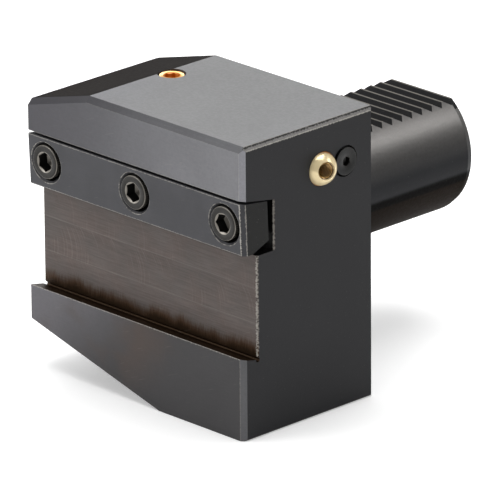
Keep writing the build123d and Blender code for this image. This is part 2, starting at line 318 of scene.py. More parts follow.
class Effects:
    """Shader groups that several finishes share, each built once."""

    def __init__(self) -> None:
        """Build the groups."""
        self.place = self.build_place()
        self.edge = self.build_edge()
        self.patina = self.build_patina()
        self.grinding = self.build_grinding()
        self.milling = self.build_milling()

    @staticmethod
    def start(
        name: str, numbers: dict[str, float], outputs: list[str], vector: str = "Place"
    ) -> tuple[Sheet, bpy.types.bpy_prop_collection, bpy.types.bpy_prop_collection]:
        """Start a shader group with one vector and some numbers as its inputs.

        Args:
            name: The group's name.
            numbers: Its number inputs, each with its usual value.
            outputs: The names of its outputs, of which Place is a vector.
            vector: The name of its vector input.

        Returns:
            The writer of its nodes, what it is given and what it puts out.
        """
        tree = bpy.data.node_groups.new(name, "ShaderNodeTree")
        tree.interface.new_socket(vector, in_out="INPUT", socket_type="NodeSocketVector")
        for label, value in numbers.items():
            socket = tree.interface.new_socket(label, in_out="INPUT", socket_type="NodeSocketFloat")
            socket.default_value = value
        for label in outputs:
            kind = "NodeSocketVector" if label == "Place" else "NodeSocketFloat"
            tree.interface.new_socket(label, in_out="OUTPUT", socket_type=kind)
        given, out = tree.nodes.new("NodeGroupInput"), tree.nodes.new("NodeGroupOutput")
        return Sheet(tree), given.outputs, out.inputs

    def build_place(self) -> bpy.types.NodeTree:
        """Build the group that gives the place in millimetres and the facing, with a lean taken out.

        Returns:
            The group.
        """
        outputs = ["Place", *(axis.name for axis in Axis), *("Facing " + axis.name for axis in Axis)]
        sheet, given, out = self.start("surface place", {"Lean": 0.0}, outputs, "Pivot")
        coordinates = sheet.node("TexCoord").outputs
        scaled = sheet.scale(coordinates["Object"], 1 / MM)
        turn = {"Vector": scaled, "Center": given["Pivot"], "Angle": given["Lean"]}
        place = sheet.node("VectorRotate", turn, rotation_type="X_AXIS").outputs[0]
        turn = {"Vector": coordinates["Normal"], "Angle": given["Lean"]}
        facing = sheet.node("VectorRotate", turn, rotation_type="X_AXIS").outputs[0]
        sheet.feed(out["Place"], place)
        for prefix, vector in (("", place), ("Facing ", facing)):
            parts = sheet.node("SeparateXYZ", {0: vector}).outputs
            for axis in Axis:
                sheet.feed(out[prefix + axis.name], parts[axis.name])
        return sheet.tree

    def build_edge(self) -> bpy.types.NodeTree:
        """Build the group that marks a straight edge, for wear and painted light, from the distances to its
        two faces.

        Returns:
            The group.
        """
        raggedness, detail, fading = 1.7, 4.0, 0.6
        narrowest, widest = 0.2, 1.8
        distances = {"First": 0.0, "Second": 0.0, "Width": 0.2}
        sheet, given, out = self.start("worn edge", distances, ["Mask"])
        noise = sheet.noise(given["Place"], raggedness, detail)
        width = sheet.both(given["Width"], sheet.step(noise, *USUAL_NOISE, narrowest, widest))
        reach = sheet.math("DIVIDE", sheet.length(given["First"], given["Second"]), width)
        mask = sheet.math("SUBTRACT", 1.0, reach, clamp=True)
        sheet.feed(out["Mask"], sheet.math("POWER", mask, fading))
        return sheet.tree

    def build_patina(self) -> bpy.types.NodeTree:
        """Build the group of soft clouds and small specks in a surface.

        Returns:
            The group.
        """
        sizes = {"Cloud Size": 20.0, "Speck Size": 0.8}
        sheet, given, out = self.start("patina", sizes, ["Clouds", "Specks"])
        clouds = sheet.noise(given["Place"], sheet.math("DIVIDE", 1.0, given["Cloud Size"]), 3.0)
        specks = sheet.noise(given["Place"], sheet.math("DIVIDE", 1.0, given["Speck Size"]), 2.0)
        sheet.feed(out["Clouds"], sheet.step(clouds, 0.25, 0.75))
        sheet.feed(out["Specks"], sheet.step(specks, 0.2, 0.8))
        return sheet.tree

    def build_grinding(self) -> bpy.types.NodeTree:
        """Build the group of fine grinding lines along X and a few slanting hair scratches.

        Returns:
            The group.
        """
        drawn_out, slant, hair = (0.03, 1.0, 1.0), (0.3, 0.35, 0.2), (0.05, 1.6, 2.6)
        sheet, given, out = self.start("grinding", {"Fine": 6.0}, ["Lines", "Scratches"])
        lines = sheet.noise(sheet.stretch(given["Place"], drawn_out), given["Fine"], 2.0)
        slanting = sheet.node("Mapping", {"Vector": given["Place"], "Rotation": slant}).outputs[0]
        marks = sheet.noise(sheet.stretch(slanting, hair), 1.0, 1.0)
        sheet.feed(out["Lines"], lines)
        sheet.feed(out["Scratches"], sheet.step(marks, 0.72, 0.78))
        return sheet.tree

    def build_milling(self) -> bpy.types.NodeTree:
        """Build the group of the curved marks that a cutter leaves as it runs along X.

        Returns:
            The group.
        """
        patchiness = 0.11
        numbers = {"Along": 0.0, "Up": 0.0, "Radius": 12.0, "Feed": 0.7}
        sheet, given, out = self.start("milling marks", numbers, ["Arcs"])
        radius, up = given["Radius"], given["Up"]
        reach = sheet.less(sheet.both(radius, radius), sheet.both(up, up))
        bow = sheet.math("SQRT", sheet.either(reach, 0.0))
        marks = sheet.noise(sheet.math("DIVIDE", sheet.less(given["Along"], bow), given["Feed"]), 1.0, 2.0)
        patches = sheet.step(sheet.noise(given["Place"], patchiness, 2.0), 0.42, 0.62)
        sheet.feed(out["Arcs"], sheet.both(sheet.step(marks, 0.5, 0.68), patches))
        return sheet.tree


class Place:
    """Place and facing of the surface, in millimetres, for one material.

    Args:
        sheet: The material's writer.
        effects: The shared shader groups.
        pivot: A point on the line along X about which the piece leans.
        lean: How far it leans, in degrees.
    """

    end_softness = 0.3

    def __init__(
        self, sheet: Sheet, effects: Effects, pivot: Point = (0.0, 0.0, 0.0), lean: float = 0.0
    ) -> None:
        """Place the group that gives them."""
        self.sheet = sheet
        self.effects = effects
        at = sheet.group(effects.place, {"Pivot": pivot, "Lean": math.radians(-lean)})
        self.point = at["Place"]
        self.along = [at[axis.name] for axis in Axis]
        self.facing = [at["Facing " + axis.name] for axis in Axis]

    def off_line(self, run: Axis, at: Corner) -> list[Socket]:
        """Measure how far the surface is off a line, along the two axes across it.

        Args:
            run: The axis that the line runs along.
            at: The line's other two coordinates.

        Returns:
            The two signed distances.
        """
        across = (axis for axis in Axis if axis is not run)
        return [self.sheet.less(self.along[axis.value], value) for axis, value in zip(across, at)]

    def worn(self, edges: list[Edge]) -> Socket:
        """Mark some edges with wear and painted light.

        Args:
            edges: The edges.

        Returns:
            The mask of the wear and the painted light.
        """
        masks = []
        for edge in edges:
            first, second = self.off_line(edge.run, edge.at)
            values = {"Place": self.point, "First": first, "Second": second, "Width": edge.width}
            mask = self.sheet.group(self.effects.edge, values)["Mask"]
            within = self.sheet.band(self.along[edge.run.value], *edge.span, self.end_softness)
            masks.append(self.sheet.both(mask, within, edge.share))
        return self.sheet.either(*masks)

    def nearest_line(self, run: Axis, places: tuple[Corner, ...]) -> Socket:
        """Distance to the nearest of some lines that run along an axis."""
        return self.sheet.least(*(self.sheet.length(*self.off_line(run, at)) for at in places))


@dataclass(frozen=True)
class Finish:
    """Finish of a piece, with the parts that all finishes share.

    Args:
        effects: The shared shader groups.
    """

    effects: Effects
    speck_depth: ClassVar[float] = 0.05
    line_depth: ClassVar[float] = 0.04
    relief: ClassVar[float] = 0.2

    def start(self, name: str) -> tuple[bpy.types.Material, Sheet, bpy.types.Node]:
        """Make a node material.

        Args:
            name: The material's name.

        Returns:
            The material, the writer of its nodes and its Principled node.
        """
        material = bpy.data.materials.new(name)
        material.use_nodes = True
        return material, Sheet(material.node_tree), material.node_tree.nodes["Principled BSDF"]

    def mottle(
        self, sheet: Sheet, place: Place, cloud_depth: float, cloud_size: float
    ) -> tuple[Socket, bpy.types.bpy_prop_collection, bpy.types.bpy_prop_collection]:
        """Make the uneven tone of a ground surface.

        Args:
            sheet: The material's writer.
            place: Where the surface is.
            cloud_depth: How much the clouds change the tone.
            cloud_size: Size of a cloud in millimetres.

        Returns:
            The factor on the colour, and the outputs of the patina and the grinding.
        """
        patina = sheet.group(self.effects.patina, {"Place": place.point, "Cloud Size": cloud_size})
        grinding = sheet.group(self.effects.grinding, {"Place": place.point})
        tone = sheet.both(
            sheet.step(patina["Clouds"], 0.0, 1.0, 1 - cloud_depth, 1 + cloud_depth),
            sheet.step(patina["Specks"], 0.0, 1.0, 1 - self.speck_depth, 1 + self.speck_depth),
            sheet.step(grinding["Lines"], *USUAL_NOISE, 1 - self.line_depth, 1 + self.line_depth),
        )
        return tone, patina, grinding

    def cover(
        self, sheet: Sheet, surface: bpy.types.Node, values: dict, height: Socket, strength: float
    ) -> None:
        """Feed the surface, and give it a fine relief.

        Args:
            sheet: The material's writer.
            surface: Its Principled node.
            values: The surface's inputs by name.
            height: Height of the relief.
            strength: Strength of the relief.
        """
        for name, value in values.items():
            sheet.feed(surface.inputs[name], value)
        bump = sheet.node("Bump", {"Height": height, "Strength": strength, "Distance": self.relief * MM})
        sheet.feed(surface.inputs["Normal"], bump.outputs["Normal"])


@dataclass(frozen=True)
class Zones:
    """Masks of the zones of the block and the shank."""

    block: Socket
    shank: Socket
    front: Socket
    top: Socket
    slope: Socket
    seat: Socket
    ledge: Socket
    pocket: Socket
    corner: Socket
    top_chamfer: Socket
    teeth: Socket
    under: Socket


@dataclass(frozen=True)
class CutterPass:
    """One pass of the cutter over the seat wall.

    Args:
        feed: Distance between its marks in millimetres.
        arcs: How much the marks show.
        tones: Its tone at its lower and its upper edge.
    """

    feed: float
    arcs: float
    tones: Span


@dataclass(frozen=True)
class BlackenedBody(Finish):
    """Ground and blackened steel of the block and the shank, whose faces get lighter and darker copies of
    one colour as painted light and shade.
    """

    node: str = "holder_body"
    top: Colour = shown(74, 74, 75)
    top_corner: Colour = shown(74, 74, 78)
    # Painted light and shade of the front: lighter to the upper right, darker downwards and to the lower
    # right, with a brown tint.
    front_painted_shade_left: Colour = shown(70, 69, 73)
    front_painted_light_right: Colour = shown(110, 110, 113)
    lower_painted_light_left: Colour = shown(93, 91, 95)
    lower_painted_shade_right: Colour = shown(56, 55, 56)
    brown: Colour = shown(68, 57, 51)
    # Painted shade: the slope and the right side are darker than the other faces.
    slope: Colour = shown(28, 24, 22)
    side: Colour = shown(34, 34, 36)
    # Painted light: the chamfers are lighter than the faces, the corner chamfer most of all on its upper
    # half.
    chamfer: Colour = shown(94, 94, 96)
    upper_chamfer_painted_light: Colour = shown(142, 142, 147)
    top_chamfer: Colour = shown(112, 110, 108)
    seat: Colour = shown(77, 71, 68)
    seat_red: Colour = shown(78, 68, 64)
    # Painted shade in a band above the ledge, the ledge's dark reflection in the wall.
    ledge_shade: Colour = shown(60, 40, 22)
    ledge: Colour = shown(36, 22, 6)
    # Painted light above and painted shade below the shank.
    shank_painted_light: Colour = shown(112, 110, 108)
    shank_painted_shade: Colour = shown(24, 25, 28)
    shank_under_painted_shade: Colour = shown(30, 21, 13)
    # Dark colour of a painted shadow line on the block and of a painted reflection line on the shank.
    painted_dark_line: Colour = shown(4, 4, 3)
    # Painted shade in the pocket beside the bar.
    pocket: Colour = shown(9, 8, 7)
    teeth: Colour = shown(34, 34, 35)
    # Bright marks: real wear, scratches and cutter marks, and painted highlights on edges and on the
    # shank's crest lines.
    worn: Colour = shown(176, 172, 164)

    seat_depth: float = 5.5
    pocket_depth: float = 11.9
    pocket_back: float = 13.0
    pocket_floor_height: float = 52.9
    pocket_lip_height: float = 69.75
    pocket_roof_drop: float = 2.4
    pocket_roof_rise: float = 3.0
    ledge_height: float = 23.9
    ledge_drop: float = 1.2
    end_chamfer: float = 1.1
    front_chamfer: float = 1.6
    corner_chamfer: float = 1.4
    corner_depth: float = 2.0
    slope_width: float = 23.5
    flat: float = 16.0
    teeth_foot: float = 13.5
    contact_face: float = 0.01

    level: float = 0.99
    upward: float = 0.8
    downward: float = -0.2
    forward: float = -0.6
    sloping: float = -0.17
    halfway: float = 0.5
    chamfered: Span = (0.6, 0.8)
    tooth_side: float = 0.15
    tooth_top: float = 0.9

    roughness: Span = (0.42, 0.5)
    dull_roughness: float = 0.45
    shank_polish: float = 0.12
    metallic: float = 0.3
    shank_metal: float = 0.3
    dull_metal: float = 0.5
    most_metal: float = 0.85
    specular: float = 0.3
    line_relief: float = 0.6
    relief_strength: float = 0.04
    cloud_depth: float = 0.05
    cloud_size: float = 24.0
    scratch_share: float = 0.05
    # Band and strength of the painted highlight on the shank's crest lines.
    crest_highlight_band: Span = (-0.22, 0.1)
    crest_highlight_share: float = 0.5
    wear_inset: float = 0.2
    shadow_inset: float = 0.3
    corner_light: Span = (-4.0, 30.0)
    front_slant: float = 1.2
    # Span where the lower front darkens as painted shade, and span of its brown tint.
    painted_darkening: Span = (28.0, 85.0)
    browning: Span = (45.0, 90.0)
    brown_softness: float = 30.0
    brown_cloud: float = 26.0
    brown_share: float = 0.8
    # Painted shade on the front's upward-facing chamfer.
    chamfer_painted_shade: float = 0.72
    seat_cloud: float = 9.0
    seat_tones: Span = (0.86, 1.14)
    seat_lines: float = 2.2
    bristle_lines: float = 2.6
    swell_lines: float = 0.12
    pass_height: float = 10.2
    pass_mark: float = 0.07
    mark_band: Span = (-0.05, 0.3)
    arc_drop: float = 3.0
    passes: tuple[CutterPass, ...] = (
        CutterPass(0.55, 0.025, (0.92, 1.12)),
        CutterPass(0.65, 0.06, (1.12, 0.94)),
        CutterPass(0.75, 0.03, (1.04, 0.88)),
    )
    bristle_height: float = 3.6
    swell_height: float = 5.0
    # Spans of the painted shade band above the ledge.
    ledge_shade_fade: Span = (-2.2, 1.4)
    ledge_shade_core: Span = (-3.2, -1.4)
    ledge_shade_share: float = 0.9
    # Facings where the shank's painted light turns to painted shade, and its painted reflection line.
    shank_turn: Span = (0.0, 0.62)
    shank_foot: float = -0.27
    line_band: Span = (-0.33, -0.2)
    line_share: float = 0.95

    def material(self) -> bpy.types.Material:
        """Build the finish.

        Returns:
            The material.
        """
        material, sheet, surface = self.start("blackened body")
        place = Place(sheet, self.effects)
        z = place.along[Axis.Z.value]
        tone, patina, grinding = self.mottle(sheet, place, self.cloud_depth, self.cloud_size)
        zones = self.zones(sheet, place)
        seat, ledge_shade_band = self.seat_wall(sheet, place)
        # The side, slope, pocket and chamfer colours are painted light and shade, and so are the front's
        # and the shank's.
        colour = sheet.layer(
            self.side,
            (zones.front, self.front(sheet, place)),
            (zones.top, self.top_face(sheet, place)),
            (zones.slope, self.slope),
            (zones.seat, seat),
            (zones.ledge, self.ledge),
            (zones.pocket, self.pocket),
            (zones.corner, sheet.mix(sheet.beyond(z, 0.0), self.chamfer, self.upper_chamfer_painted_light)),
            (zones.top_chamfer, self.top_chamfer),
            (zones.shank, self.shank(sheet, place)),
            (zones.teeth, self.teeth),
        )
        # Bright edges are wear with a painted highlight; the crest lines are a painted highlight.
        bright = sheet.both(place.worn(self.edges()), zones.block)
        start, end = (self.flat + height for height in self.crest_highlight_band)
        crest_highlights = sheet.both(zones.shank, sheet.band(z, start, end, 0.12), self.crest_highlight_share)
        colour = sheet.layer(
            sheet.scale(colour, tone),
            # Painted shadow line along the top end chamfer.
            (sheet.both(place.worn(self.shadows()), zones.block), self.painted_dark_line),
            (sheet.either(bright, crest_highlights), self.worn),
            (sheet.both(grinding["Scratches"], self.scratch_share), self.worn),
        )
        rough = sheet.plus(
            sheet.step(patina["Specks"], 0.0, 1.0, *self.roughness),
            sheet.both(sheet.either(zones.slope, zones.teeth, zones.under), self.dull_roughness),
        )
        dull = sheet.either(zones.slope, zones.ledge, zones.under, sheet.both(zones.seat, ledge_shade_band))
        metal = sheet.both(zones.shank, self.shank_metal)
        metal = sheet.plus(metal, sheet.both(dull, self.dull_metal), self.metallic)
        values = {
            "Base Color": colour,
            "Roughness": sheet.less(rough, sheet.both(zones.shank, self.shank_polish)),
            "Metallic": sheet.least(metal, self.most_metal),
            "Specular IOR Level": self.specular,
        }
        height = sheet.plus(sheet.both(grinding["Lines"], self.line_relief), patina["Specks"])
        self.cover(sheet, surface, values, height, self.relief_strength)
        return material

    def edges(self) -> list[Edge]:
        """List the edges of the block that show bright wear with a painted highlight.

        Returns:
            The edges.
        """
        low, high = node_box(self.node)
        front, seat, pocket = low.y, low.y + self.seat_depth, low.y + self.pocket_depth
        ledge, floor = low.z + self.ledge_height, low.z + self.pocket_floor_height
        lip, right, top = low.z + self.pocket_lip_height, high.x, high.z
        sides = (low.x, right)
        depth = (front + self.front_chamfer, 0.0)
        inset = right - self.wear_inset
        corner = (right - self.corner_chamfer, front)
        return [
            Edge(Axis.Y, (right - self.end_chamfer, top), depth, 0.12, 0.35),
            Edge(Axis.Y, (right, top - self.end_chamfer), depth, 0.2, 0.75),
            Edge(Axis.X, (front, ledge), sides, 0.2, 0.7),
            Edge(Axis.X, (front, lip), sides, 0.14, 0.35),
            Edge(Axis.X, (front, top - self.front_chamfer), (low.x + self.slope_width, right), 0.12, 0.12),
            Edge(Axis.Z, (inset, seat), (ledge - self.ledge_drop, floor), 0.4, 0.8),
            Edge(Axis.Z, (inset, pocket), (floor, lip - self.pocket_roof_drop), 0.4, 0.5),
            Edge(Axis.Z, corner, (low.z, ledge), 0.12, 0.3),
            Edge(Axis.Z, corner, (lip, top), 0.12, 0.3),
        ]

    def shadows(self) -> list[Edge]:
        """List the edges of the block that get a painted shadow line.

        Returns:
            The edges.
        """
        low, high = node_box(self.node)
        at = (high.x - self.end_chamfer + self.shadow_inset, high.z - self.shadow_inset)
        return [Edge(Axis.Y, at, (low.y + 1.0, 0.0), 0.34, 1.0)]

    def zones(self, sheet: Sheet, place: Place) -> Zones:
        """Mark the zones by the place and the facing of the surface.

        Args:
            sheet: The material's writer.
            place: Where the surface is.

        Returns:
            The masks.
        """
        low, high = node_box(self.node)
        _, y, z = place.along
        facing_x, facing_y, facing_z = place.facing
        floor, lip = low.z + self.pocket_floor_height, low.z + self.pocket_lip_height
        seat_middle = low.y + self.seat_depth / 2
        block = sheet.below(y, self.contact_face)
        shank = sheet.beyond(y, self.contact_face)
        forward = sheet.below(facing_y, self.forward)
        upward = sheet.beyond(facing_z, self.upward)
        chamfered = sheet.band(facing_x, *self.chamfered, 0.05)
        tooth_sides = sheet.beyond(sheet.math("ABSOLUTE", facing_y), self.tooth_side)
        return Zones(
            block=block,
            shank=shank,
            front=sheet.both(forward, sheet.below(y, seat_middle)),
            top=sheet.both(block, sheet.beyond(facing_z, self.level), sheet.beyond(z, high.z - 1.0)),
            slope=sheet.both(block, sheet.below(facing_x, self.sloping), upward),
            seat=sheet.both(forward, sheet.beyond(y, seat_middle)),
            ledge=sheet.both(block, upward, sheet.below(z, low.z + self.ledge_height + 1)),
            pocket=sheet.both(
                sheet.band(z, floor - 0.05, lip + self.pocket_roof_rise, 0.04),
                sheet.band(y, low.y + 0.3, low.y + self.pocket_back, 0.2),
                sheet.below(facing_x, self.halfway),
            ),
            corner=sheet.both(
                block,
                chamfered,
                sheet.below(facing_y, -self.halfway),
                sheet.below(y, low.y + self.corner_depth),
            ),
            top_chamfer=sheet.both(block, chamfered, sheet.beyond(facing_z, self.halfway)),
            teeth=sheet.both(
                shank,
                sheet.either(tooth_sides, sheet.beyond(facing_z, self.tooth_top)),
                sheet.beyond(z, self.teeth_foot),
            ),
            under=sheet.both(shank, sheet.below(facing_z, self.downward, 0.1)),
        )

    def top_face(self, sheet: Sheet, place: Place) -> Socket:
        """Colour the top, which changes away from its front left corner.

        Args:
            sheet: The material's writer.
            place: Where the surface is.

        Returns:
            The colour.
        """
        low, _ = node_box(self.node)
        x, y, _ = place.along
        corner = low.x + self.slope_width + low.y / 2
        start, end = (corner + distance for distance in self.corner_light)
        share = sheet.step(sheet.plus(x, sheet.both(y, 0.5)), start, end)
        return sheet.mix(share, self.top_corner, self.top)

    def front(self, sheet: Sheet, place: Place) -> Socket:
        """Colour the front with painted light and shade: lighter to the right, darker downwards and to the
        lower right.

        Args:
            sheet: The material's writer.
            place: Where the surface is.

        Returns:
            The colour.
        """
        low, _ = node_box(self.node)
        x, _, z = place.along
        slant = sheet.less(x, sheet.both(z, self.front_slant))
        dark, brown = ([low.x + at for at in span] for span in (self.painted_darkening, self.browning))
        patina = sheet.group(self.effects.patina, {"Place": place.point, "Cloud Size": self.brown_cloud})
        clouds = sheet.step(patina["Clouds"], 0.3, 0.8)
        browned = sheet.both(sheet.band(slant, *brown, self.brown_softness), clouds, self.brown_share)
        # Painted light and shade: lighter to the right above, darker to the lower right below.
        upper = sheet.mix(sheet.step(x, low.x, -low.x), self.front_painted_shade_left, self.front_painted_light_right)
        lower = sheet.mix(sheet.step(slant, *dark), self.lower_painted_light_left, self.lower_painted_shade_right)
        lower = sheet.mix(browned, lower, self.brown)
        # Painted shade on the upward-facing chamfer.
        chamfer_shade = sheet.step(place.facing[Axis.Z.value], 0.3, 0.6, 1.0, self.chamfer_painted_shade)
        return sheet.scale(sheet.mix(sheet.below(z, 0.0), upper, lower), chamfer_shade)

    def seat_wall(self, sheet: Sheet, place: Place) -> tuple[Socket, Socket]:
        """Colour the seat wall with its cutter passes and a band of painted shade above the ledge, the
        ledge's dark reflection in the wall.

        Args:
            sheet: The material's writer.
            place: Where the surface is.

        Returns:
            The colour, and the mask of the painted shade band.
        """
        drawn_out, upright = (0.05, 1.0, 1.0), (1.0, 1.0, 0.15)
        low, _ = node_box(self.node)
        x, _, z = place.along
        ledge = low.z + self.ledge_height - self.ledge_drop
        patina = sheet.group(self.effects.patina, {"Place": place.point, "Cloud Size": self.seat_cloud})
        lines = sheet.noise(sheet.stretch(place.point, drawn_out), self.seat_lines, 4.0)
        ground = sheet.mix(patina["Clouds"], self.seat, self.seat_red)
        ground = sheet.scale(ground, sheet.step(lines, *USUAL_NOISE, *self.seat_tones))
        colour = self.seat
        for number, cut in enumerate(self.passes):
            bottom = ledge + number * self.pass_height
            top = bottom + self.pass_height
            up = sheet.less(z, (bottom + top) / 2 - self.arc_drop)
            values = {"Place": place.point, "Along": x, "Up": up, "Feed": cut.feed}
            arcs = sheet.group(self.effects.milling, values)["Arcs"]
            mark = sheet.band(z, *(bottom + height for height in self.mark_band), 0.25)
            strip = sheet.layer(
                sheet.scale(ground, sheet.step(z, bottom, top, *cut.tones)),
                (sheet.both(arcs, cut.arcs), self.worn),
                (sheet.both(mark, self.pass_mark), self.worn),
            )
            colour = sheet.mix(sheet.band(z, bottom, top, 0.3), colour, strip)
        # Band of painted shade above the ledge, the ledge's dark reflection in the wall, darkest next to
        # the ledge.
        bristles = sheet.noise(sheet.stretch(place.point, upright), self.bristle_lines, 4.0)
        swell = sheet.noise(x, self.swell_lines, 1.0)
        edge = sheet.plus(sheet.both(bristles, self.bristle_height), sheet.both(swell, self.swell_height))
        height = sheet.less(sheet.less(z, ledge), edge)
        ledge_shade_band = sheet.step(height, *self.ledge_shade_fade, self.ledge_shade_share, 0.0)
        core = sheet.step(height, *self.ledge_shade_core, self.ledge_shade_share, 0.0)
        return sheet.layer(colour, (ledge_shade_band, self.ledge_shade), (core, self.ledge)), ledge_shade_band

    def shank(self, sheet: Sheet, place: Place) -> Socket:
        """Colour the shank: painted light above, painted shade below and underneath, with one thin painted
        dark reflection line between.

        Args:
            sheet: The material's writer.
            place: Where the surface is.

        Returns:
            The colour.
        """
        _, facing_y, facing_z = place.facing
        rounded = sheet.below(sheet.math("ABSOLUTE", facing_y), 0.1)
        line = sheet.both(sheet.band(facing_z, *self.line_band, 0.05), rounded, self.line_share)
        # Painted light above, painted shade below and underneath, and a painted dark reflection line.
        return sheet.layer(
            sheet.mix(sheet.step(facing_z, *self.shank_turn), self.shank_painted_shade, self.shank_painted_light),
            (sheet.below(facing_z, self.shank_foot, 0.05), self.shank_under_painted_shade),
            (line, self.painted_dark_line),
        )


@dataclass(frozen=True)
class BarSteel(Finish):
    """Ground and blackened steel of the clamp bar, with bright wear and painted highlights at its edges and
    counterbore mouths, and painted shade on its end face and in its screw holes.
    """

    node: str = "clamp_bar"
    colour: Colour = shown(62, 62, 65)
    # Painted shade on the end face and in the counterbore holes.
    end: Colour = shown(20, 20, 19)
    bore: Colour = shown(14, 14, 14)
    worn: Colour = shown(186, 182, 174)
    roughness: Span = (0.4, 0.5)
    metallic: float = 0.35
    specular: float = 0.3
    relief_strength: float = 0.05
    cloud_depth: float = 0.08
    cloud_size: float = 11.0
    scratch_share: float = 0.08
    lean: float = 2.4
    screw_drop: float = 0.3
    screw_proud: float = 0.6
    below_screws: float = 7.8
    bar_height: float = 15.15
    end_chamfer: float = 1.2
    edge_chamfer: float = 0.25
    counterbore: float = 5.5
    counterbore_chamfer: float = 0.6
    rim_band: Span = (-0.16, 0.06)
    rim_shares: Span = (0.1, 0.6)
    bore_mouth: float = 0.7

    def material(self, screws: list[str]) -> bpy.types.Material:
        """Build the finish.

        Args:
            screws: The nodes of the screws, whose counterbore mouths get bright wear with a painted
                highlight.

        Returns:
            The material.
        """
        material, sheet, surface = self.start("bar steel")
        boxes = [node_box(name) for name in screws]
        heads = tuple(((a.x + b.x) / 2, (a.z + b.z) / 2 - self.screw_drop) for a, b in boxes)
        front, middle = boxes[0][0].y + self.screw_proud, heads[0][1]
        place = Place(sheet, self.effects, (0.0, front, middle), self.lean)
        tone, patina, grinding = self.mottle(sheet, place, self.cloud_depth, self.cloud_size)
        y = place.along[Axis.Y.value]
        reach = place.nearest_line(Axis.Y, heads)
        mouth = self.counterbore + self.counterbore_chamfer
        # Bright wear with a painted highlight round the counterbore mouths.
        rim_wear_and_highlight = sheet.both(
            sheet.band(reach, *(mouth + width for width in self.rim_band), 0.08),
            sheet.below(y, front + self.counterbore_chamfer + 0.3),
            sheet.step(patina["Specks"], 0.2, 0.8, *self.rim_shares),
        )
        # Painted shade in the counterbore holes.
        shaded_bores = sheet.both(
            sheet.below(reach, self.counterbore + 0.05, 0.1),
            sheet.beyond(y, front + self.bore_mouth, 0.2),
        )
        # Painted shade on the end face.
        end = sheet.beyond(place.facing[Axis.X.value], 0.95)
        colour = sheet.layer(
            sheet.scale(sheet.mix(end, self.colour, self.end), tone),
            (sheet.both(grinding["Scratches"], self.scratch_share), self.worn),
            (rim_wear_and_highlight, self.worn),
            (place.worn(self.edges(front, middle)), self.worn),
            (shaded_bores, self.bore),
        )
        values = {
            "Base Color": colour,
            "Roughness": sheet.step(patina["Specks"], 0.0, 1.0, *self.roughness),
            "Metallic": self.metallic,
            "Specular IOR Level": self.specular,
        }
        height = sheet.plus(grinding["Lines"], patina["Specks"])
        self.cover(sheet, surface, values, height, self.relief_strength)
        return material

    def edges(self, front: float, middle: float) -> list[Edge]:
        """List the edges of the bar that show bright wear with a painted highlight, in its own upright
        frame.

        Args:
            front: Y of the bar's front.
            middle: Z of its screws.

        Returns:
            The edges.
        """
        low, high = node_box(self.node)
        bottom = middle - self.below_screws
        top = bottom + self.bar_height
        ends = (low.x, high.x - self.end_chamfer)
        return [
            Edge(Axis.X, (front, top - self.edge_chamfer), ends, 0.14, 0.45),
            Edge(Axis.X, (front, bottom + self.edge_chamfer), ends, 0.18, 0.4),
            Edge(Axis.Z, (high.x - self.end_chamfer, front), (bottom, top), 0.22, 0.85),
            Edge(Axis.Z, (high.x, front + self.end_chamfer), (bottom, top), 0.2, 0.55),
        ]


@dataclass(frozen=True)
class ScrewSteel(Finish):
    """Burnished steel of screws, with painted highlights on the heads' rounded rim and the sockets'
    lead-in, and painted shade on the knurl and in the sockets.

    Args:
        name: The material's name.
        places: Where the screws' axes lie.
        run: The axis that they run along.
        rim: Radius of the heads.
    """

    name: str
    places: tuple[Corner, ...]
    run: Axis
    rim: float
    colour: Colour = shown(31, 29, 26)
    # Painted shade in the sockets.
    dark: Colour = shown(20, 19, 18)
    worn: Colour = shown(215, 208, 196)
    # Strength of the painted highlights on the rim and the lead-in.
    bright: float = 0.3
    metallic: float = 0.5
    roughness: Span = (0.34, 0.5)
    relief_strength: float = 0.08
    ring_band: Span = (-0.22, -0.04)
    slanting: Span = (0.3, 0.97)
    cloud_depth: float = 0.14
    cloud_size: float = 3.0
    knurl_shade: float = 0.35
    lead_share: float = 0.62
    socket_share: float = 0.7
    knurl_share: float = 0.9

    def material(self) -> bpy.types.Material:
        """Build the finish.

        Returns:
            The material.
        """
        material, sheet, surface = self.start(self.name)
        place = Place(sheet, self.effects)
        tone, patina, grinding = self.mottle(sheet, place, self.cloud_depth, self.cloud_size)
        reach = place.nearest_line(self.run, self.places)
        outward = sheet.math("ABSOLUTE", place.facing[self.run.value])
        sideways = sheet.below(outward, 0.12, 0.1)
        # Painted highlights on the head's rounded rim and the socket's lead-in.
        start, end = (self.rim + width for width in self.ring_band)
        ring = sheet.both(sheet.band(reach, start, end, 0.1), self.bright)
        lead = sheet.both(
            sheet.band(outward, *self.slanting, 0.05),
            sheet.below(reach, self.rim * self.lead_share),
            self.bright,
        )
        # Painted shade on the knurl, down in the counterbore, and in the socket.
        knurled = sheet.both(sideways, sheet.beyond(reach, self.rim * self.knurl_share))
        inside = sheet.both(sideways, sheet.below(reach, self.rim * self.socket_share))
        colour = sheet.layer(
            sheet.scale(self.colour, tone),
            (sheet.either(ring, lead), self.worn),
            (knurled, sheet.scale(self.colour, self.knurl_shade)),
            (inside, self.dark),
        )
        rough = sheet.step(patina["Specks"], 0.0, 1.0, *self.roughness)
        values = {"Base Color": colour, "Roughness": rough, "Metallic": self.metallic}
        height = sheet.plus(grinding["Lines"], patina["Specks"])
        self.cover(sheet, surface, values, height, self.relief_strength)
        return material


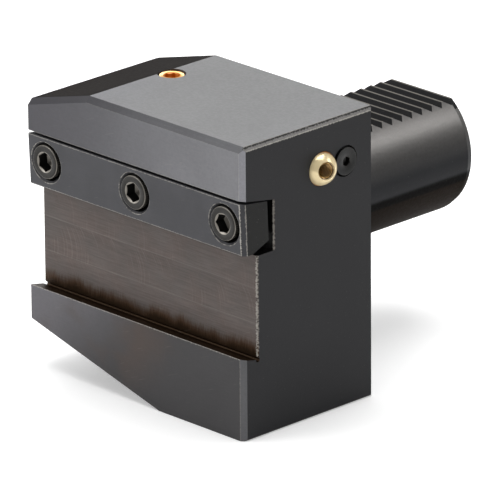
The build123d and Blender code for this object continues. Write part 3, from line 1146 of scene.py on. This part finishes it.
@dataclass(frozen=True)
class TurnedBrass(Finish):
    """Turned brass, with fine rings about its axis and a hole along it, painted shade in its hollows and at
    its outer edge.

    Args:
        name: The material's name.
        origin: A point on the axis, in millimetres.
        axis: The way of the axis.
    """

    name: str
    origin: Vector
    axis: Vector
    colour: Colour = shown(255, 233, 184)
    # Painted shade in the hollows and at the outer edge.
    deep: Colour = shown(58, 22, 4)
    wall: Colour = shown(255, 206, 122)
    edge_painted_shade: Colour = shown(200, 124, 54)
    crest: float = 2.08
    root: float = 2.26
    wall_cover: float = 0.2
    mouth_reach: float = 4.6
    ring_scale: float = 7.0
    cloud_size: float = 4.0
    tones: Span = (0.97, 1.01)
    roughness: Span = (0.2, 0.24)
    metallic: float = 0.35
    relief_strength: float = 0.02

    def material(self) -> bpy.types.Material:
        """Build the finish.

        Returns:
            The material.
        """
        material, sheet, surface = self.start(self.name)
        place = Place(sheet, self.effects)
        values = {0: place.point, 1: tuple(self.origin)}
        offset = sheet.node("VectorMath", values, operation="SUBTRACT").outputs[0]
        values = {0: offset, 1: tuple(self.axis)}
        lever = sheet.node("VectorMath", values, operation="CROSS_PRODUCT").outputs[0]
        reach = sheet.node("VectorMath", {0: lever}, operation="LENGTH").outputs["Value"]
        rings = sheet.noise(reach, self.ring_scale, 1.0)
        patina = sheet.group(self.effects.patina, {"Place": place.point, "Cloud Size": self.cloud_size})
        tone = sheet.both(
            sheet.step(rings, *USUAL_NOISE, *self.tones),
            sheet.step(patina["Clouds"], 0.0, 1.0, *self.tones),
        )
        # Walls darken from the crest to painted shade at the root.
        walls = sheet.mix(sheet.step(reach, self.crest, self.root), self.wall, self.deep)
        colour = sheet.layer(
            sheet.scale(self.colour, tone),
            (sheet.beyond(reach, self.mouth_reach, 0.5), self.edge_painted_shade),
            (sheet.below(reach, self.root + self.wall_cover, 0.06), walls),
        )
        rough = sheet.step(patina["Clouds"], 0.0, 1.0, *self.roughness)
        values = {"Base Color": colour, "Roughness": rough, "Metallic": self.metallic}
        self.cover(sheet, surface, values, rings, self.relief_strength)
        return material


@dataclass(frozen=True)
class SealRubber(Finish):
    """Matte black rubber of the seal rings."""

    colour: Colour = shown(26, 26, 27)
    dusty: Colour = shown(40, 40, 41)
    roughness: Span = (0.55, 0.7)
    relief_strength: float = 0.1
    cloud_size: float = 6.0

    def material(self) -> bpy.types.Material:
        """Build the finish.

        Returns:
            The material.
        """
        material, sheet, surface = self.start("seal rubber")
        place = Place(sheet, self.effects)
        patina = sheet.group(self.effects.patina, {"Place": place.point, "Cloud Size": self.cloud_size})
        colour = sheet.mix(patina["Clouds"], self.colour, self.dusty)
        rough = sheet.step(patina["Specks"], 0.0, 1.0, *self.roughness)
        values = {"Base Color": colour, "Roughness": rough}
        self.cover(sheet, surface, values, patina["Specks"], self.relief_strength)
        return material


class Turning:
    """A turned piece in the making, about its own +Z axis and in millimetres."""

    steps = 96
    thread_steps = 24
    ridge_root = 0.46
    ridge_crest = 0.06
    lead_angle = math.radians(35)
    drill_angle = math.radians(30)
    drill_tip = 0.05

    def __init__(self) -> None:
        """Start with nothing."""
        self.shape = bmesh.new()

    def spin(
        self, geometry: list, turns: float, steps: int, rise: float = 0.0, closed: bool = False
    ) -> None:
        """Spin some geometry about the axis.

        Args:
            geometry: What is spun.
            turns: How many times it goes round.
            steps: In how many steps.
            rise: How far it moves along the axis with each step.
            closed: Whether the last step is merged with the first.
        """
        bmesh.ops.spin(
            self.shape,
            geom=geometry,
            axis=(0.0, 0.0, 1.0),
            cent=(0.0, 0.0, 0.0),
            dvec=(0.0, 0.0, rise),
            angle=2 * math.pi * turns,
            steps=steps,
            use_merge=closed,
        )

    def turn(self, outline: list[Corner]) -> None:
        """Turn the piece's outline once round the axis.

        Args:
            outline: Its corners, each a radius and a height.
        """
        points = [self.shape.verts.new((radius, 0.0, height)) for radius, height in outline]
        lines = [self.shape.edges.new(pair) for pair in zip(points, points[1:])]
        self.spin(points + lines, 1.0, self.steps, closed=True)
        bmesh.ops.remove_doubles(self.shape, verts=self.shape.verts, dist=ALIKE / 10)

    def thread(self, root: float, crest: float, pitch: float, start: float, turns: float) -> None:
        """Wind a thread's ridge down the axis.

        Args:
            root: Radius of the ridge's foot.
            crest: Radius of its crest.
            pitch: Advance of one turn.
            start: Height where it begins.
            turns: How many turns it has.
        """
        section = [(root, self.ridge_root), (crest, self.ridge_crest)]
        section += [(radius, -share) for radius, share in reversed(section)]
        points = [self.shape.verts.new((radius, 0.0, start + share * pitch)) for radius, share in section]
        cap = self.shape.faces.new(points)
        self.spin([cap], turns, round(turns * self.thread_steps), -pitch / self.thread_steps)

    def rim(self, radius: float, height: float) -> list[bmesh.types.BMEdge]:
        """Find the open edges on a circle.

        Args:
            radius: Radius of the circle.
            height: Height of the circle.

        Returns:
            The edges.
        """

        def fits(point: bmesh.types.BMVert) -> bool:
            """Whether a point lies on the circle."""
            return abs(point.co.xy.length - radius) < ALIKE and abs(point.co.z - height) < ALIKE

        return [e for e in self.shape.edges if e.is_boundary and all(fits(v) for v in e.verts)]

    def drop(self, ring: list[bmesh.types.BMEdge]) -> tuple[list, list]:
        """Extrude a ring of open edges.

        Args:
            ring: The edges.

        Returns:
            The new edges and the new points.
        """
        made = bmesh.ops.extrude_edge_only(self.shape, edges=ring)["geom"]
        edges = [e for e in made if isinstance(e, bmesh.types.BMEdge)]
        return edges, [v for v in made if isinstance(v, bmesh.types.BMVert)]

    def hex_socket(self, lead: float, width: float, depth: float) -> None:
        """Sink a hexagon socket with a conical lead-in from the open circle at height 0.

        Args:
            lead: Radius of the circle where the lead-in starts.
            width: Width of the socket across its flats.
            depth: Depth of its walls.
        """
        sixth = math.pi / 3
        flat = width / 2
        ring, points = self.drop(self.rim(lead, 0.0))
        for point in points:
            angle = math.atan2(point.co.y, point.co.x) % sixth
            reach = min(flat / math.cos(angle - sixth / 2), lead - ALIKE)
            fall = (lead - reach) * math.tan(self.lead_angle)
            point.co = (*(point.co.xy.normalized() * reach), -fall)
        ring, points = self.drop(ring)
        for point in points:
            point.co.z = -depth
        ring, points = self.drop(ring)
        for point in points:
            point.co = (*(point.co.xy * self.drill_tip), -depth - flat * math.tan(self.drill_angle))
        bmesh.ops.edgeloop_fill(self.shape, edges=ring)

    def knurl(self, radius: float, top: float, bottom: float, depth: float) -> None:
        """Press straight grooves into the cylinder between two heights.

        Args:
            radius: Radius of the cylinder.
            top: The upper height.
            bottom: The lower height.
            depth: Depth of the grooves.
        """
        step = 2 * math.pi / self.steps
        for point in self.shape.verts:
            if point.co.xy.length > radius - ALIKE and bottom - ALIKE < point.co.z < top + ALIKE:
                if round(math.atan2(point.co.y, point.co.x) / step) % 2:
                    point.co.xy *= 1 - depth / radius

    def place(self, origin: Vector, side: Side, turn: float = 0.0, tilt: Matrix | None = None) -> None:
        """Move the piece into the part's frame, in metres.

        Args:
            origin: Place of its own origin, in millimetres.
            side: The way its axis points out of the block.
            turn: How far it is turned about that axis, in degrees.
            tilt: A further rotation about the origin.
        """
        out, first = (Vector(way) for way in side.value[:2])
        axes = Matrix((first, out.cross(first), out)).transposed().to_4x4()
        turned = (tilt.to_4x4() if tilt else Matrix()) @ axes @ Matrix.Rotation(math.radians(turn), 4, "Z")
        matrix = Matrix.Scale(MM, 4) @ Matrix.Translation(origin) @ turned
        bmesh.ops.transform(self.shape, matrix=matrix, verts=self.shape.verts)


def finish_mesh(name: str, shape: bmesh.types.BMesh) -> bpy.types.Object:
    """Turn a finished bmesh into an object at the origin, smooth but for its sharp edges.

    Args:
        name: The object's name.
        shape: The mesh, which is freed.

    Returns:
        The new object.
    """
    bmesh.ops.recalc_face_normals(shape, faces=shape.faces)
    for face in shape.faces:
        face.smooth = True
    for edge in shape.edges:
        edge.smooth = edge.is_manifold and edge.calc_face_angle(0.0) < math.radians(SHARP_ANGLE)
    mesh = bpy.data.meshes.new(name)
    shape.to_mesh(mesh)
    shape.free()
    made = bpy.data.objects.new(name, mesh)
    bpy.context.scene.collection.objects.link(made)
    return made


def dress(piece: bpy.types.Object, material: bpy.types.Material, body: Body) -> None:
    """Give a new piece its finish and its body.

    Args:
        piece: The piece, in place.
        material: Its finish.
        body: The body that it rides on.
    """
    piece.data.materials.append(material)
    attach(piece, body.value)
    log.info("%s rides on %s", piece.name, body.value)


def wear(node: str, material: bpy.types.Material) -> None:
    """Give a CAD node its finish.

    Args:
        node: Name of the node.
        material: The finish.
    """
    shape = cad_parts[node]
    shape.data.materials.clear()
    shape.data.materials.append(material)
    log.info("%s wears %s", node, material.name)


@dataclass
class Fastener:
    """Turned and threaded piece with a hexagon socket, which stands in for its CAD node.

    Args:
        node: Name of the CAD node.
        body: The body that it rides on.
        turn: How far it is turned about its axis, in degrees.
        slot: The record's slot of its material; not used.
        side: The way out of the block that its socket faces.
        socket: Width of its socket across the flats.
        socket_depth: Depth of the socket's walls.
        lead: Radius of the socket's conical lead-in.
        core: Radius of its core.
        thread_radius: Radius of its thread's crest.
        pitch: Pitch of its thread.
        thread_end: How far before its far end the thread stops.
    """

    node: str
    body: Body
    turn: float
    slot: Slot
    side: Side
    socket: float
    socket_depth: float
    lead: float
    core: float
    thread_radius: float
    pitch: float
    thread_end: float
    bite: ClassVar[float] = 0.1

    def place(self) -> Vector:
        """Find the middle of the end face with the socket.

        Returns:
            The place in millimetres.
        """
        low, high = node_box(self.node)
        corners = zip(low, high, self.side.value[0])
        return Vector([{-1.0: a, 0.0: (a + b) / 2, 1.0: b}[way] for a, b, way in corners])

    def sizes(self) -> tuple[float, float]:
        """Read the size of the CAD node.

        Returns:
            Its radius and its length.
        """
        low, high = node_box(self.node)
        ways, _, across = self.side.value
        length = next(b - a for a, b, way in zip(low, high, ways) if way)
        return (high[across.value] - low[across.value]) / 2, length

    def outline(self, radius: float, length: float) -> list[Corner]:
        """Give the outline from the socket's lead-in to the far end."""
        raise NotImplementedError

    def thread_start(self) -> float:
        """Height where the thread begins."""
        raise NotImplementedError

    def turned(self) -> Turning:
        """Turn the outline.

        Returns:
            The piece in the making.
        """
        made = Turning()
        made.turn(self.outline(*self.sizes()))
        return made

    def build(self, material: bpy.types.Material) -> None:
        """Build the piece and stand it in for its node.

        Args:
            material: Its finish.
        """
        made = self.turned()
        made.hex_socket(self.lead, self.socket, self.socket_depth)
        start = self.thread_start()
        turns = (self.sizes()[1] + start - self.thread_end) / self.pitch
        made.thread(self.core - self.bite, self.thread_radius, self.pitch, start, turns)
        made.place(self.place(), self.side, self.turn)
        piece = finish_mesh(self.node + "_detailed", made.shape)
        dress(piece, material, self.body)
        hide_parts(self.node)


@dataclass
class CapScrew(Fastener):
    """Socket head cap screw with a knurled head."""

    slot: Slot = Slot.SCREW_STEEL
    side: Side = Side.FRONT
    socket: float = 5.0
    socket_depth: float = 3.3
    lead: float = 3.05
    core: float = 2.45
    thread_radius: float = 3.0
    pitch: float = 1.0
    thread_end: float = 0.9
    head_height: float = 6.0
    rounding: float = 0.5
    rounding_angles: tuple[float, ...] = (22.5, 45.0, 67.5)
    knurl_gap: float = 0.25
    knurl_end: float = 0.7
    knurl_depth: float = 0.14
    under_chamfer: float = 0.3
    neck: float = 0.25
    play: float = 0.03
    plain: float = 1.5
    lead_out: float = 0.6
    runout: float = 0.4

    def knurled(self) -> Span:
        """Heights where the knurl begins and ends."""
        return -self.rounding - self.knurl_gap, -self.head_height + self.knurl_end

    def outline(self, radius: float, length: float) -> list[Corner]:
        """Give the outline from the socket's lead-in to the far end.

        Args:
            radius: Radius of the head.
            length: Length of the whole screw.

        Returns:
            The corners, each a radius and a height.
        """
        angles = [math.radians(angle) for angle in self.rounding_angles]
        rounded = [
            (radius - self.rounding * (1 - math.sin(a)), -self.rounding * (1 - math.cos(a))) for a in angles
        ]
        under, plain_radius = -self.head_height, self.thread_radius - self.play
        return [
            (self.lead, 0.0),
            (radius - self.rounding, 0.0),
            *rounded,
            (radius, -self.rounding),
            *((radius, height) for height in self.knurled()),
            (radius, under + self.under_chamfer),
            (radius - self.under_chamfer, under),
            (self.thread_radius + self.neck, under),
            (plain_radius, under - self.under_chamfer),
            (plain_radius, under - self.plain),
            (self.core, under - self.plain - self.runout),
            (self.core, -length + self.runout),
            (self.core - self.runout, -length),
            (0.0, -length),
        ]

    def turned(self) -> Turning:
        """Turn the outline and knurl the head.

        Returns:
            The screw in the making.
        """
        made = super().turned()
        made.knurl(self.sizes()[0], *self.knurled(), self.knurl_depth)
        return made

    def thread_start(self) -> float:
        """Height where the thread begins, below the plain stretch."""
        return -self.head_height - self.plain - self.lead_out


@dataclass
class LockScrew(Fastener):
    """Countersunk screw that locks the coolant ball."""

    node: str = "ball_lock_screw"
    body: Body = Body.LOCK_SCREW
    turn: float = 0.0
    slot: Slot = Slot.BLACK_SCREW
    side: Side = Side.RIGHT
    socket: float = 2.5
    socket_depth: float = 1.6
    lead: float = 1.5
    core: float = 1.6
    thread_radius: float = 2.0
    pitch: float = 0.7
    thread_end: float = 0.7
    rim: float = 0.35
    edge: float = 0.12
    lead_out: float = 0.6
    runout: float = 0.4
    tip: float = 0.3

    def cone_end(self) -> float:
        """Height where the head's cone ends."""
        return -self.rim - (self.sizes()[0] - self.thread_radius)

    def outline(self, radius: float, length: float) -> list[Corner]:
        """Give the outline from the socket's lead-in to the far end.

        Args:
            radius: Radius of the head.
            length: Length of the whole screw.

        Returns:
            The corners, each a radius and a height.
        """
        return [
            (self.lead, 0.0),
            (radius - self.edge, 0.0),
            (radius, -self.edge),
            (radius, -self.rim),
            (self.thread_radius, self.cone_end()),
            (self.core, self.cone_end() - self.runout),
            (self.core, -length + self.tip),
            (self.core - self.tip, -length),
            (0.0, -length),
        ]

    def thread_start(self) -> float:
        """Height where the thread begins, below the cone."""
        return self.cone_end() - self.lead_out


@dataclass
class CoolantPlug(Fastener):
    """Headless screw plug of the upper coolant outlet, whose thread is as wide as its node."""

    node: str = "top_coolant_plug"
    body: Body = Body.PLUG
    turn: float = 0.0
    slot: Slot = Slot.BRASS
    side: Side = Side.TOP
    socket: float = 4.0
    socket_depth: float = 3.0
    lead: float = 2.45
    core: float = 3.4
    thread_radius: float = field(init=False)
    pitch: float = 1.0
    thread_end: float = 1.0
    chamfer: float = 0.5

    def __post_init__(self) -> None:
        """Take the thread's radius from the node."""
        self.thread_radius = self.sizes()[0]

    def outline(self, radius: float, length: float) -> list[Corner]:
        """Give the outline from the socket's lead-in to the far end.

        Args:
            radius: Radius of the thread.
            length: Length of the plug.

        Returns:
            The corners, each a radius and a height.
        """
        return [
            (self.lead, 0.0),
            (radius - self.chamfer, 0.0),
            (self.core, -self.chamfer),
            (self.core, -length + self.chamfer),
            (self.core - self.chamfer, -length),
            (0.0, -length),
        ]

    def thread_start(self) -> float:
        """Height where the thread begins, below the chamfer."""
        return -self.chamfer - self.pitch / 2


@dataclass
class NozzleThread:
    """Internal thread of the coolant ball's bore."""

    node: str = "coolant_ball"
    swivel: float = 15.0
    tilt: float = 4.5
    bore: float = 2.5
    bite: float = 0.05
    crest: float = 2.1
    pitch: float = 0.8
    reach: float = 3.95

    def centre(self) -> Vector:
        """Centre of the ball."""
        low, high = node_box(self.node)
        return (low + high) / 2

    def aim(self) -> Matrix:
        """Rotation from the way out of the block to the bore's own way."""
        swivel = Matrix.Rotation(math.radians(-self.swivel), 3, "Z")
        return swivel @ Matrix.Rotation(math.radians(-self.tilt), 3, "Y")

    def build(self, material: bpy.types.Material) -> None:
        """Build the thread inside the bore.

        Args:
            material: Its finish.
        """
        made = Turning()
        turns = 2 * self.reach / self.pitch
        made.thread(self.bore + self.bite, self.crest, self.pitch, self.reach, turns)
        made.place(self.centre(), Side.RIGHT, tilt=self.aim())
        dress(finish_mesh("nozzle_thread", made.shape), material, Body.NOZZLE)


@dataclass(frozen=True)
class Softbox:
    """Square lamp that points at the holder.

    Args:
        name: The lamp's name.
        place: Its place in metres.
        size: Its side in metres.
        power: Its power in watts.
    """

    name: str
    place: Point
    size: float
    power: float

    def hang(self) -> None:
        """Hang the lamp."""
        data = bpy.data.lights.new(self.name, "AREA")
        data.size = self.size
        data.energy = self.power
        lamp = bpy.data.objects.new(self.name, data)
        bpy.context.scene.collection.objects.link(lamp)
        lamp.location = self.place
        lamp.rotation_euler = (-Vector(self.place)).to_track_quat("-Z", "Y").to_euler()


@dataclass
class Studio:
    """Floor, lamps, world and camera."""

    floor_height: float = -48.6
    floor_radius: float = 900.0
    floor_steps: int = 96
    floor_tone: float = 0.9
    floor_roughness: float = 0.8
    floor_specular: float = 0.1
    floor_glow: float = 0.25
    sky: float = 0.3
    lamps: tuple[Softbox, ...] = (
        Softbox("overhead softbox", (-0.1, 0.1, 1.3), 1.2, 18.0),
        Softbox("front softbox", (-1.0, -1.3, 0.5), 1.0, 18.0),
        Softbox("back softbox", (-1.1, 1.1, 0.95), 0.8, 10.0),
        Softbox("shank softbox", (0.75, 1.0, 0.85), 0.5, 3.0),
    )
    aim: Point = (0.895, -6.633, -14.605)
    turn: float = 45.729
    tilt: float = 20.310
    roll: float = 0.402
    distance: float = 2085.82
    lens: float = 537.746

    def build(self) -> None:
        """Build the whole studio."""
        self.build_floor()
        self.build_world()
        for lamp in self.lamps:
            lamp.hang()
        self.build_camera()

    def build_floor(self) -> None:
        """Lay a round pale floor under the holder, white to the camera."""
        shape = bmesh.new()
        radius = self.floor_radius * MM
        bmesh.ops.create_circle(shape, cap_ends=True, segments=self.floor_steps, radius=radius)
        bmesh.ops.translate(shape, verts=shape.verts, vec=(0.0, 0.0, self.floor_height * MM))
        floor = finish_mesh("studio_floor", shape)
        material = bpy.data.materials.new("studio floor")
        material.use_nodes = True
        sheet, nodes = Sheet(material.node_tree), material.node_tree.nodes
        surface = nodes["Principled BSDF"]
        values = {
            "Base Color": (self.floor_tone,) * 3,
            "Roughness": self.floor_roughness,
            "Specular IOR Level": self.floor_specular,
        }
        for name, value in values.items():
            sheet.feed(surface.inputs[name], value)
        seen = sheet.node("LightPath").outputs["Is Camera Ray"]
        values = {"Color": (1.0, 1.0, 1.0), "Strength": sheet.both(seen, self.floor_glow)}
        glow = sheet.node("Emission", values).outputs[0]
        total = sheet.node("AddShader", {0: surface.outputs[0], 1: glow}).outputs[0]
        sheet.feed(nodes["Material Output"].inputs["Surface"], total)
        floor.data.materials.append(material)

    def build_world(self) -> None:
        """Give soft even light from all round."""
        world = bpy.data.worlds.new("studio")
        bpy.context.scene.world = world
        world.use_nodes = True
        background = world.node_tree.nodes["Background"]
        background.inputs["Color"].default_value = (1.0, 1.0, 1.0, 1.0)
        background.inputs["Strength"].default_value = self.sky

    def build_camera(self) -> None:
        """Stand the camera at the photograph's angle."""
        turn, tilt = math.radians(self.turn), math.radians(self.tilt)
        level = math.cos(tilt)
        forward = Vector((-math.sin(turn) * level, math.cos(turn) * level, -math.sin(tilt)))
        right = forward.cross(Vector((0.0, 0.0, 1.0))).normalized()
        up = right.cross(forward)
        axes = Matrix((right, up, -forward)).transposed()
        turned = Matrix.Rotation(math.radians(self.roll), 3, forward) @ axes
        data = bpy.data.cameras.new("camera")
        data.lens = self.lens
        camera = bpy.data.objects.new("camera", data)
        bpy.context.scene.collection.objects.link(camera)
        place = Vector(self.aim) - self.distance * forward
        camera.matrix_world = Matrix.Translation(place * MM) @ turned.to_4x4()
        bpy.context.scene.camera = camera
        bpy.context.scene.view_settings.view_transform = "Standard"


def main() -> None:
    """Dress the holder, light it and set the camera."""
    logging.basicConfig(level=logging.INFO, format="%(message)s")
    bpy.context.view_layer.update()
    effects = Effects()
    screws = [
        CapScrew("clamp_screw_left", Body.SCREW_LEFT, 3.0),
        CapScrew("clamp_screw_middle", Body.SCREW_MIDDLE, -2.0),
        CapScrew("clamp_screw_right", Body.SCREW_RIGHT, 33.5),
    ]
    lock, plug, nozzle = LockScrew(), CoolantPlug(), NozzleThread()

    wear("holder_body", BlackenedBody(effects).material())
    wear("clamp_bar", BarSteel(effects).material([screw.node for screw in screws]))
    rubber = SealRubber(effects).material()
    for node in ("ball_seat_seal", "shank_seal_ring"):
        wear(node, rubber)

    heads = tuple((screw.place().x, screw.place().z) for screw in screws)
    burnished = ScrewSteel(effects, "burnished screws", heads, Axis.Y, 4.9).material()
    for screw in screws:
        screw.build(burnished)
    lock_at = lock.place()
    # The lock screw's colours: near black, with a weaker painted highlight.
    colours = {"colour": shown(10, 10, 9), "worn": shown(92, 90, 86), "bright": 0.15, "metallic": 0.3}
    lock_steel = ScrewSteel(effects, "black screw", ((lock_at.y, lock_at.z),), Axis.X, 4.0, **colours)
    lock.build(lock_steel.material())
    bore_way = nozzle.aim() @ Vector((1.0, 0.0, 0.0))
    ball = TurnedBrass(effects, "ball brass", nozzle.centre(), bore_way).material()
    wear(nozzle.node, ball)
    nozzle.build(ball)
    # The plug's colours, darkened to painted shade in its socket.
    golden = {"colour": shown(236, 172, 82), "deep": shown(188, 104, 24), "crest": 1.6, "root": 2.2}
    upwards = Vector((0.0, 0.0, 1.0))
    plug.build(TurnedBrass(effects, "plug brass", plug.place(), upwards, **golden).material())

    Studio().build()


if __name__ == "__main__":
    main()
